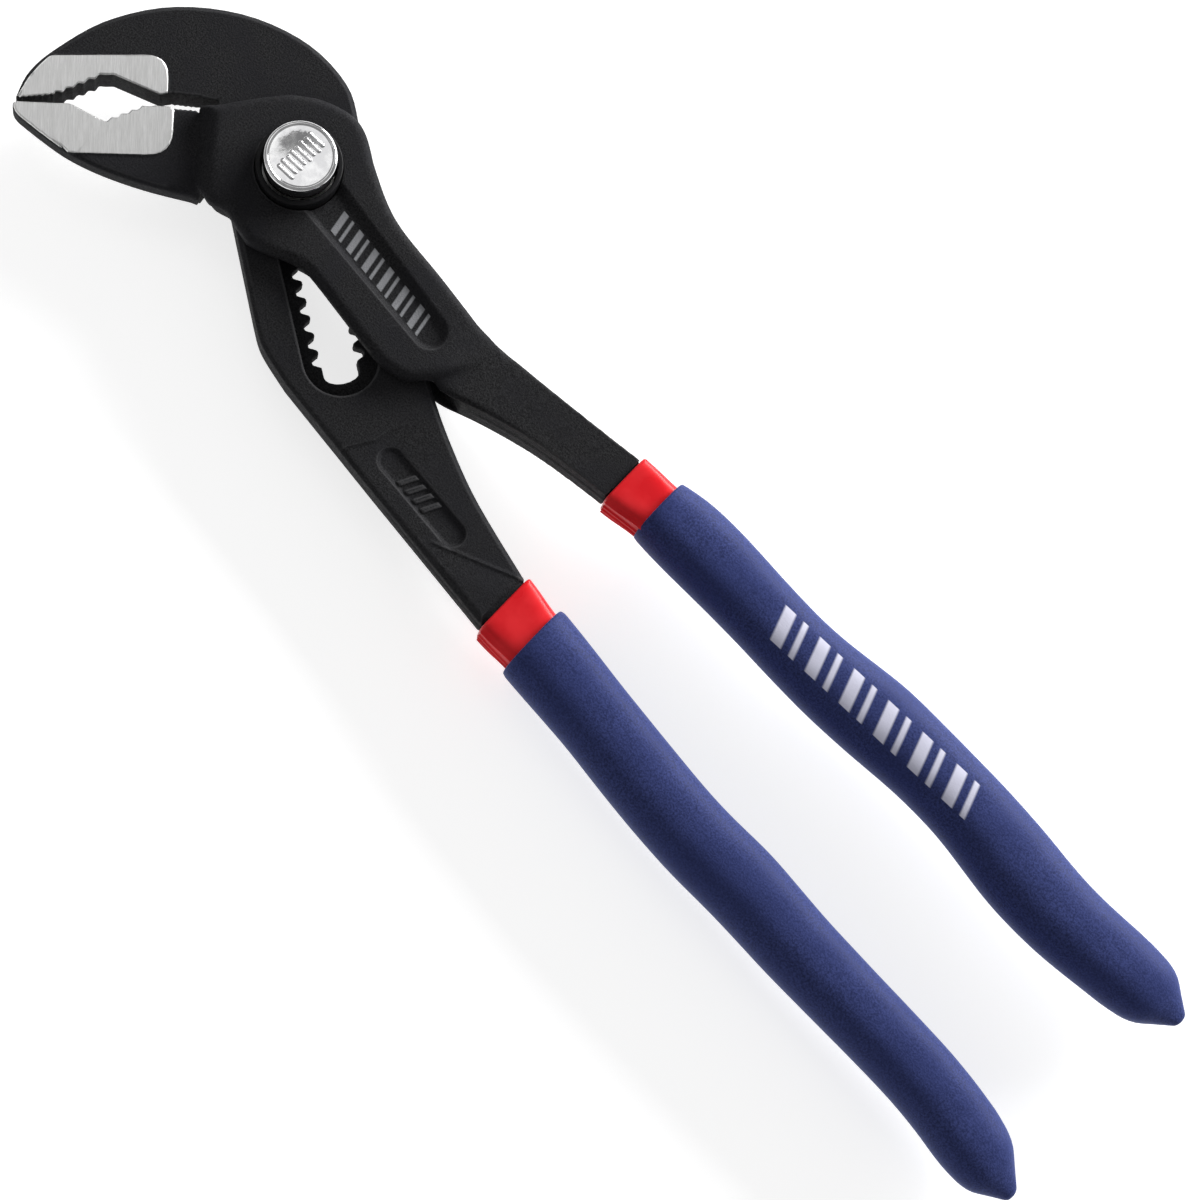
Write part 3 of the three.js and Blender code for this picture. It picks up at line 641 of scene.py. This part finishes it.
def sleeve(node, name):
    """The red skin under a grip: a closed tube with a rolled lip at each end."""
    low, high = (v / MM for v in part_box(node))
    start, end = low[0], high[0]
    wall = SLEEVE_WALL
    places = np.arange(start + 0.4, end - 0.3, 0.3)
    rows = smoothed_rows(places, stations(node, places), 3.0)
    squares = TANG_SQUARE + SLEEVE_EDGE_SQUARE * smoothstep(start + 7, start + 1, places)
    n = SLEEVE_SIDES
    first = lip(start, rows[0], wall, squares[0], 1, n)
    outer = [handle_ring(x, *row, square, n) for x, row, square in zip(places, rows, squares)]
    last = lip(end, rows[-1], wall, TANG_SQUARE, -1, n)[::-1]
    inner = [handle_ring(x, row[0], row[1] - wall, row[2] - wall, square, n)
             for x, row, square in zip(places[::-4], rows[::-4], squares[::-4])]
    rings = first + outer + last + inner
    points, faces = skin(rings, closed=False)
    final = (len(rings) - 1) * n
    faces += [(final + i, final + (i + 1) % n, (i + 1) % n, i) for i in range(n)]

    # the skin shows folds along its lower side, where the tang has its parting line
    outside = np.zeros(len(points), bool)
    outside[len(first) * n:(len(first) + len(outer)) * n] = True
    z = points[:, 2]
    middle = np.interp(points[:, 0], places, rows[:, 0])
    half_width = np.interp(points[:, 0], places, rows[:, 1])
    lower = smoothstep(0.6, 0.9, (middle - points[:, 1]) / half_width)
    folds = sum(0.36 * np.exp(-((z - at) / 0.30) ** 2) for at in (-3.3, -1.1, 1.1, 3.3))
    points[:, 1] -= np.where(outside, folds * lower, 0)
    return mesh_object(name, points, faces)


# ---------------------------------------------------------------- bolt, button and small parts

ROUND = 128


def edge_profile(inner, outer, bottom, top, radius, steps=4):
    """A closed rounded rectangle, as radius and height, for a turned ring."""
    corners = [(outer, top), (inner, top), (inner, bottom), (outer, bottom)]
    return [tuple(p) for p in rounded(corners, radius, steps)]


def turned_ring(node, name, inner, radius, grow=0.0):
    """A turned ring in a CAD node's box: its bore, its edges' rounding and any growth outwards."""
    low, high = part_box(node)
    bottom, top = low[2] / MM - MIDDLE[2], high[2] / MM - MIDDLE[2]
    points, faces = lathe(edge_profile(inner, high[0] / MM + grow, bottom, top, radius), ROUND)
    return mesh_object(name, points, [f[::-1] for f in faces])


RIBS, RIB_PITCH, RIB_HALF_LENGTH = 8, 1.1, 1.45


def push_button():
    """The cap as one revolved skin, its crown shaped with a raised rim and ribs for the thumb."""
    low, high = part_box("push_button")
    radius, top = high[0] / MM, high[2] / MM - MIDDLE[2]
    stem_end = low[2] / MM - MIDDLE[2]
    skirt, ceiling, wall, stem = top - 4.0, top - 1.0, 0.6, 2.0
    profile = [(0.001, stem_end), (stem - 0.3, stem_end), (stem, stem_end + 0.3),
               (stem, ceiling - 0.2), (stem + 0.2, ceiling), (radius - wall - 0.2, ceiling),
               (radius - wall, ceiling - 0.2), (radius - wall, skirt + 0.1),
               (radius - wall + 0.1, skirt), (radius - 0.1, skirt), (radius, skirt + 0.1)]
    profile += [(radius, z) for z in np.linspace(skirt + 0.3, top - 0.75, 4)]
    corner = 0.62
    profile += [(radius - corner + corner * math.cos(t), top - corner - 0.04 + corner * math.sin(t))
                for t in np.linspace(0.15, math.pi / 2, 9)]
    profile += [(r, top - 0.04) for r in np.linspace(radius - corner - 0.05, 0.001, 110)]
    points, faces = skin([np.array([(r * math.cos(a), r * math.sin(a), z)
                                    for a in np.arange(ROUND * 2) * math.pi / ROUND])
                          for r, z in profile])
    reach = np.hypot(points[:, 0], points[:, 1])
    crown = points[:, 2] > top - 0.2
    dish = 0.14 * smoothstep(radius - 0.60, radius - 0.95, reach)
    dish += 0.12 * smoothstep(radius - 1.2, 0.5, reach)
    ribs = np.zeros(len(points))
    for i in range(RIBS):
        y = points[:, 1] - RIB_PITCH * (i - (RIBS - 1) / 2)
        x = points[:, 0] - 0.12 * (-1) ** i
        away = np.hypot(np.maximum(np.abs(x) - RIB_HALF_LENGTH, 0), y)
        ribs = np.maximum(ribs, smoothstep(0.36, 0.14, away))
    points[:, 2] += np.where(crown, 0.22 * ribs - dish, 0)
    return mesh_object("button_cap", points, faces)


def machined(node, name, width):
    """A CAD solid with its flat facets merged and its edges eased."""
    points, faces = cad_points(node)
    mesh = bpy.data.meshes.new("work")
    mesh.from_pydata(points.tolist(), [], faces)
    mesh = with_modifier(mesh, "WELD", merge_threshold=0.001)
    mesh = with_modifier(mesh, "DECIMATE", decimate_type="DISSOLVE", angle_limit=math.radians(2))
    mesh = with_modifier(mesh, "BEVEL", width=width, segments=3, limit_method="ANGLE",
                         angle_limit=math.radians(35), harden_normals=False)
    co = points_of(mesh)
    mesh.vertices.foreach_set("co", ((co + MIDDLE) * MM).ravel())
    mesh.shade_smooth()
    mesh.set_sharp_from_angle(angle=math.radians(40))
    return linked(name, mesh)


def swept(path, radius, sides=14):
    """A round wire along a path of points, its ends rounded off."""
    path = np.asarray(path, float)
    tangents = np.gradient(path, axis=0)
    tangents /= np.linalg.norm(tangents, axis=1)[:, None]
    rings = []
    for i, (centre, tangent) in enumerate(zip(path, tangents)):
        side = np.cross(tangent, (0, 0, 1))
        side /= np.linalg.norm(side)
        up = np.cross(side, tangent)
        ends = min(i, len(path) - 1 - i)
        size = radius * (0.55, 0.85, 1)[min(ends, 2)]
        a = np.arange(sides)[:, None] * 2 * math.pi / sides
        rings.append(centre + size * (np.cos(a) * side + np.sin(a) * up))
    return skin(rings)


def button_spring():
    """A pressure spring with its end coils closed."""
    low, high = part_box("button_spring")
    bottom, top = low[2] / MM - MIDDLE[2], high[2] / MM - MIDDLE[2]
    wire = 0.3  # half the wire's thickness
    radius = 5.05
    turns = 4.0
    path = []
    for s in np.linspace(0, 1, 260):
        a = s * turns * 2 * math.pi
        rise = smoothstep(0.12, 0.88, s) * 0.35 + 0.65 * np.clip((s - 0.12) / 0.76, 0, 1)
        path.append((radius * math.cos(a), radius * math.sin(a),
                     bottom + wire + rise * (top - bottom - 2 * wire)))
    points, faces = swept(path, wire)
    return mesh_object("return_spring", points, faces)


def tail_circlip():
    """A snap ring that narrows towards its two eyed ends."""
    low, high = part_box("tail_circlip")
    bottom, top = low[2] / MM - MIDDLE[2], high[2] / MM - MIDDLE[2]
    inner = 4.9
    open_half = 0.35
    rings = []
    for a in np.linspace(open_half, 2 * math.pi - open_half, 140):
        from_end = min(a, 2 * math.pi - a) - open_half
        lug = 0.45 * smoothstep(0.32, 0.1, from_end)
        width = 1.35 - 0.35 * math.cos(a) + lug - 0.1
        outer = min(inner + width, 6.5)
        section = rounded([(outer, top), (inner, top), (inner, bottom), (outer, bottom)], 0.1, 2)
        rings.append(np.array([(r * math.cos(a), r * math.sin(a), z) for r, z in section]))
    points, faces = skin(rings)
    return mesh_object("tail_snap_ring", points, [f[::-1] for f in faces])


# ---------------------------------------------------------------- materials

# the printed bars: where each starts and ends as shares of the pitch, with its edges' softness
THICK_BAR = (0.06, 0.36, 0.035)
THIN_BAR = (0.58, 0.72, 0.035)
BAR_BLUR = 0.06     # the softness of the bars' ends, in millimetres


class Shader:
    """Builds a node material from the object's own coordinates, in millimetres."""

    def __init__(self, name, **values):
        self.material = bpy.data.materials.new(name)
        self.material.use_nodes = True
        self.tree = self.material.node_tree
        self.bsdf = self.tree.nodes["Principled BSDF"]
        for key, value in values.items():
            self.bsdf.inputs[self.title(key)].default_value = value
        coordinates = self.tree.nodes.new("ShaderNodeTexCoord")
        self.mm = self.scaled(coordinates.outputs["Object"], 1 / MM, 1 / MM, 1 / MM)

    @staticmethod
    def title(key):
        """The name of the shader's socket that a keyword stands for."""
        return key.replace("_", " ").title().replace("Ior", "IOR")

    def put(self, socket, value):
        """Links a socket to another, or sets its own value."""
        if isinstance(value, bpy.types.NodeSocket):
            self.tree.links.new(value, socket)
        elif value is not None:
            socket.default_value = value

    def scaled(self, vector, x, y, z):
        node = self.tree.nodes.new("ShaderNodeVectorMath")
        node.operation = "MULTIPLY"
        self.put(node.inputs[0], vector)
        node.inputs[1].default_value = (x, y, z)
        return node.outputs["Vector"]

    def turned(self, angle, origin=(0, 0)):
        """Coordinates along and across a line through origin at angle, and Z."""
        node = self.tree.nodes.new("ShaderNodeVectorRotate")
        node.rotation_type = "Z_AXIS"
        self.put(node.inputs["Vector"], self.mm)
        node.inputs["Center"].default_value = (*origin, 0)
        node.inputs["Angle"].default_value = -angle
        shift = self.tree.nodes.new("ShaderNodeVectorMath")
        shift.operation = "SUBTRACT"
        self.put(shift.inputs[0], node.outputs["Vector"])
        shift.inputs[1].default_value = (*origin, 0)
        return shift.outputs["Vector"]

    def noise(self, size, detail=2.0, roughness=0.5, vector=None):
        """Noise whose cells are about size millimetres across."""
        node = self.tree.nodes.new("ShaderNodeTexNoise")
        self.put(node.inputs["Vector"], vector or self.mm)
        node.inputs["Scale"].default_value = 1 / size
        node.inputs["Detail"].default_value = detail
        node.inputs["Roughness"].default_value = roughness
        return node.outputs["Fac"]

    def attribute(self, name):
        node = self.tree.nodes.new("ShaderNodeAttribute")
        node.attribute_name = name
        return node.outputs["Fac"]

    def math(self, operation, a, b=None, clamp=False):
        node = self.tree.nodes.new("ShaderNodeMath")
        node.operation = operation
        node.use_clamp = clamp
        self.put(node.inputs[0], a)
        self.put(node.inputs[1], b)
        return node.outputs["Value"]

    def between(self, value, low, high, to_low=0.0, to_high=1.0):
        node = self.tree.nodes.new("ShaderNodeMapRange")
        node.interpolation_type = "SMOOTHSTEP"
        self.put(node.inputs["Value"], value)
        node.inputs["From Min"].default_value = low
        node.inputs["From Max"].default_value = high
        node.inputs["To Min"].default_value = to_low
        node.inputs["To Max"].default_value = to_high
        return node.outputs["Result"]

    def split(self, vector):
        node = self.tree.nodes.new("ShaderNodeSeparateXYZ")
        self.put(node.inputs[0], vector)
        return node.outputs

    def mixed(self, factor, a, b):
        """A colour or a number between a and b."""
        node = self.tree.nodes.new("ShaderNodeMix")
        colour = not isinstance(a, float) and not isinstance(b, float)
        node.data_type = "RGBA" if colour else "FLOAT"
        first, second, result = (6, 7, 2) if colour else (2, 3, 0)
        self.put(node.inputs[0], factor)
        self.put(node.inputs[first], (*a, 1) if isinstance(a, tuple) else a)
        self.put(node.inputs[second], (*b, 1) if isinstance(b, tuple) else b)
        return node.outputs[result]

    def bump(self, height, depth, after=None):
        """Relief of about depth millimetres."""
        node = self.tree.nodes.new("ShaderNodeBump")
        self.put(node.inputs["Height"], height)
        node.inputs["Distance"].default_value = depth * MM
        self.put(node.inputs["Normal"], after)
        return node.outputs["Normal"]

    def set(self, **values):
        for key, value in values.items():
            self.put(self.bsdf.inputs[self.title(key)], value)
        return self.material

    def bars(self, origin, angle, length, height, pitch, slant, low_z):
        """A printed row of slanting bars in thick and thin pairs, one where it is inked."""
        s, h, z = self.split(self.turned(angle, origin))
        leaned = self.math("SUBTRACT", s, self.math("MULTIPLY", h, slant))
        phase = self.math("FRACT", self.math("DIVIDE", leaned, pitch))
        thick, thin = (self.math("MULTIPLY", self.between(phase, start - soft, start + soft),
                                 self.between(phase, end - soft, end + soft, 1, 0))
                       for start, end, soft in (THICK_BAR, THIN_BAR))
        ink = self.math("ADD", thick, thin, clamp=True)
        away = self.math("ABSOLUTE", h)
        inside = self.between(away, height / 2 - BAR_BLUR, height / 2 + BAR_BLUR, 1, 0)
        ink = self.math("MULTIPLY", ink, inside)
        ink = self.math("MULTIPLY", ink, self.between(leaned, 0, 0.01))
        ink = self.math("MULTIPLY", ink, self.between(leaned, length - 0.01, length, 1, 0))
        return self.math("MULTIPLY", ink, self.between(z, low_z, low_z + 0.01))


# where the bars are printed: on the front cheek and on one grip
JAW_MARK = dict(origin=(10.7, -1.95), angle=math.radians(-8.0), length=24.6, height=4.0, pitch=4.1,
                slant=-0.32, low_z=12.0)
GRIP_MARK = dict(origin=(111, -0.9), angle=math.radians(0.0), length=46.8, height=6.2, pitch=7.8,
                 slant=-0.32, low_z=12.0)


def forged_steel(name, mark=None):
    """Black satin steel with a fine cast grain, ground bright on the jaws' flats."""
    s = Shader(name, specular_ior_level=0.05)
    grain = s.noise(0.30, 4, 0.7)
    blotch = s.noise(9.0, 2)
    # edge wear and painted highlight: convex edges are coloured lighter, partly standing in for the
    # light they catch
    edge_wear_and_highlight = s.between(s.attribute("crest"), 0.012, 0.05)
    black = s.mixed(s.between(grain, 0.3, 0.7), (0.0080, 0.0080, 0.0086), (0.0350, 0.0350, 0.0370))
    black = s.mixed(s.math("MULTIPLY", s.between(blotch, 0.35, 0.7), 0.6), black,
                    (0.0180, 0.0180, 0.0212))
    black = s.mixed(s.math("MULTIPLY", edge_wear_and_highlight, 0.55), black, (0.075, 0.075, 0.078))
    if mark:
        black = s.mixed(s.math("MULTIPLY", s.bars(**mark), 0.9), black, (0.285, 0.29, 0.305))

    fine = s.scaled(s.turned(JAW_ANGLE, tuple(JAW_TIP)), 8.0, 0.35, 0.6)
    streaks = s.noise(1.0, 4, 0.7, fine)
    broad = s.noise(1.0, 2, 0.5, s.scaled(fine, 0.22, 0.6, 1))
    steel = s.mixed(s.between(streaks, 0.25, 0.75), (0.64, 0.64, 0.635), (0.92, 0.92, 0.915))
    steel = s.mixed(s.math("MULTIPLY", s.between(broad, 0.3, 0.7), 0.35), steel, (0.60, 0.60, 0.59))
    ragged = s.math("MULTIPLY", s.math("SUBTRACT", grain, 0.5), 0.10)
    edge = s.math("ADD", s.attribute("ground"), ragged)
    ground = s.between(edge, -0.02, 0.05)
    colour = s.mixed(ground, black, steel)
    black_rough = s.between(s.noise(0.9, 3), 0.3, 0.7, 0.56, 0.70)
    steel_rough = s.between(streaks, 0.3, 0.7, 0.30, 0.46)
    relief = s.bump(s.mixed(ground, grain, 0.5), 0.16)
    relief = s.bump(s.mixed(ground, 0.5, streaks), 0.012, relief)
    return s.set(base_color=colour, metallic=ground, normal=relief,
                 roughness=s.mixed(ground, black_rough, steel_rough))


STEM_PAINTED_SHADE = 17.6    # painted shade: the button's stem is coloured near black below this height, for the shade under the cap


def chrome():
    """Bright plating with faint smears, and painted shade on the stem under the cap."""
    s = Shader("chrome", metallic=1.0)
    smear = s.noise(3.5, 3, 0.6)
    tone = s.mixed(s.between(smear, 0.35, 0.7), (0.64, 0.64, 0.65), (0.90, 0.90, 0.90))
    height = s.split(s.mm)[2]
    # painted shade: below this height the stem under the cap turns near black
    tone = s.mixed(s.between(height, STEM_PAINTED_SHADE, STEM_PAINTED_SHADE + 0.3), (0.02, 0.02, 0.02), tone)
    return s.set(base_color=tone, roughness=s.between(smear, 0.3, 0.75, 0.05, 0.13),
                 normal=s.bump(s.noise(1.4, 2), 0.012))


def bright_steel():
    """Plain turned steel for the bolt and its fittings."""
    s = Shader("bright_steel", metallic=1.0)
    turning = s.noise(0.25, 3, 0.6, s.scaled(s.mm, 0.4, 0.4, 2.5))
    tone = s.mixed(turning, (0.42, 0.42, 0.42), (0.60, 0.60, 0.59))
    return s.set(base_color=tone, roughness=s.between(turning, 0.3, 0.7, 0.26, 0.42),
                 normal=s.bump(turning, 0.01))


def black_ring():
    """Matt black for the ring round the button, its own black deepened by painted shade from the
    cap over it.
    """
    s = Shader("black_ring", specular_ior_level=0.2)
    grain = s.noise(0.3, 3)
    # painted shade: the ring's tone is set darker than the black steel, for the shade under the cap
    tone = s.mixed(grain, (0.002, 0.002, 0.0025), (0.007, 0.007, 0.008))
    return s.set(base_color=tone, roughness=s.between(grain, 0.3, 0.7, 0.42, 0.58),
                 normal=s.bump(grain, 0.03))


def red_vinyl():
    """Smooth, slightly glossy red skin."""
    s = Shader("red_vinyl", specular_ior_level=0.12, coat_weight=0.06, coat_roughness=0.3)
    cloud = s.noise(5.0, 3)
    tone = s.mixed(s.between(cloud, 0.35, 0.7), (0.68, 0.012, 0.018), (0.76, 0.024, 0.030))
    return s.set(base_color=tone, roughness=s.between(cloud, 0.3, 0.7, 0.26, 0.36),
                 normal=s.bump(s.noise(1.6, 2), 0.02))


def blue_vinyl(name, mark=None):
    """Dull blue skin with a fine grain and a faint bloom at its rims."""
    s = Shader(name, specular_ior_level=0.06, sheen_weight=0.2, sheen_roughness=0.36,
               sheen_tint=(0.26, 0.42, 1.0, 1))
    grain = s.noise(0.34, 3, 0.6)
    cloud = s.noise(12.0, 3)
    tone = s.mixed(s.between(grain, 0.3, 0.7), (0.021, 0.028, 0.090), (0.050, 0.066, 0.205))
    tone = s.mixed(s.math("MULTIPLY", s.between(cloud, 0.35, 0.7), 0.5), tone,
                   (0.030, 0.041, 0.140))
    if mark:
        tone = s.mixed(s.math("MULTIPLY", s.bars(**mark), 0.97), tone, (0.62, 0.62, 0.74))
    return s.set(base_color=tone, roughness=s.between(grain, 0.3, 0.7, 0.44, 0.58),
                 normal=s.bump(grain, 0.045))


# ---------------------------------------------------------------- assembly

def add(obj, material, body, node):
    """Puts a piece in the place of a CAD node."""
    obj.data.materials.clear()
    obj.data.materials.append(material)
    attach(obj, body)
    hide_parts(node)
    return obj


steel = bright_steel()
red = red_vinyl()

add(hook_jaw_lever(), forged_steel("forged_steel_hook"),
    "hook_lever", "hook_jaw_lever")
add(box_jaw_lever(), forged_steel("forged_steel_box", JAW_MARK),
    "box_lever", "box_jaw_lever")
add(sleeve("hook_lever_sleeve", "hook_red_sleeve"), red,
    "hook_lever", "hook_lever_sleeve")
add(sleeve("box_lever_sleeve", "box_red_sleeve"), red,
    "box_lever", "box_lever_sleeve")
add(grip("hook_jaw_lever", "hook_lever_sleeve", "hook_lever_grip", "hook_blue_grip"),
    blue_vinyl("blue_vinyl_hook"), "hook_lever", "hook_lever_grip")
add(grip("box_jaw_lever", "box_lever_sleeve", "box_lever_grip", "box_blue_grip"),
    blue_vinyl("blue_vinyl_box", GRIP_MARK), "box_lever", "box_lever_grip")
add(push_button(), chrome(), "push_bolt", "push_button")
add(machined("hinge_bolt", "toothed_bolt", 0.12), steel,
    "push_bolt", "hinge_bolt")
add(turned_ring("tail_washer", "bolt_tail_washer", 5.7, 0.12), steel,
    "push_bolt", "tail_washer")
add(tail_circlip(), steel, "push_bolt", "tail_circlip")
add(turned_ring("spring_seat_washer", "spring_seat", 4.8, 0.1), steel,
    "bolt_carrier", "spring_seat_washer")
add(turned_ring("button_guide_ring", "guide_ring", 6.5, 0.25, 0.2), black_ring(),
    "box_lever", "button_guide_ring")

spring = add(button_spring(), steel, "bolt_carrier", "button_spring")
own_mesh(spring)


# ---------------------------------------------------------------- floor, light and camera

CAMERA_TARGET = Vector((0.08698, -0.01772, PIVOT["pos_m"][2]))
CAMERA_SIDE = Vector((0.055, -0.236, 1)).normalized()  # from the object towards the camera
CAMERA_DISTANCE = 0.7
CAMERA_ROLL = math.radians(43)
VIEW_WIDTH = 0.20185  # what the frame takes in at the target
SENSOR_MM = 36

across = (Vector((1, 0, 0)) - CAMERA_SIDE * CAMERA_SIDE.x).normalized()
above = CAMERA_SIDE.cross(across)
image_right = across * math.cos(CAMERA_ROLL) + above * math.sin(CAMERA_ROLL)
image_up = above * math.cos(CAMERA_ROLL) - across * math.sin(CAMERA_ROLL)


def camera():
    data = bpy.data.cameras.new("camera")
    data.sensor_width = SENSOR_MM
    data.lens = SENSOR_MM * CAMERA_DISTANCE / VIEW_WIDTH
    data.clip_start = 0.01
    obj = linked("camera", data)
    turn = Matrix((image_right, image_up, CAMERA_SIDE)).transposed().to_4x4()
    obj.matrix_world = Matrix.Translation(CAMERA_TARGET + CAMERA_SIDE * CAMERA_DISTANCE) @ turn
    bpy.context.scene.camera = obj


def area_light(name, offset, size, power):
    """A soft light at an offset from the target, facing it."""
    data = bpy.data.lights.new(name, "AREA")
    data.shape = "RECTANGLE"
    data.size, data.size_y = size
    data.energy = power
    obj = linked(name, data)
    obj.location = CAMERA_TARGET + Vector(offset)
    obj.rotation_euler = Vector(offset).to_track_quat("Z", "Y").to_euler()


def floor():
    half, drop = 3.0, 0.0004  # metres: half its width, and how far it lies under the tool
    mesh = bpy.data.meshes.new("floor")
    corners = [(-half, -half), (half, -half), (half, half), (-half, half)]
    mesh.from_pydata([(x, y, -drop) for x, y in corners], [], [(0, 1, 2, 3)])
    obj = linked("floor", mesh)
    s = Shader("pale_floor", roughness=0.9)
    cloud = s.noise(160.0, 2)
    s.set(base_color=s.mixed(cloud, (0.62, 0.62, 0.62), (0.66, 0.66, 0.66)))
    s.bsdf.inputs["Emission Color"].default_value = (1, 1, 1, 1)
    s.bsdf.inputs["Emission Strength"].default_value = 0.72
    obj.data.materials.append(s.material)


def sky():
    world = bpy.data.worlds.new("studio")
    bpy.context.scene.world = world
    world.use_nodes = True
    background = world.node_tree.nodes["Background"]
    background.inputs["Color"].default_value = (1, 1, 1, 1)
    background.inputs["Strength"].default_value = 0.29


floor()
sky()
camera()
area_light("key", (0.10, 0.80, 0.26), (0.8, 0.3), 15.5)
area_light("fill", (-0.45, -0.60, 0.45), (0.5, 0.4), 0.2)
area_light("top", (-0.45, 0.25, 0.9), (0.4, 0.4), 0.43)

bpy.context.scene.view_settings.view_transform = "Standard"
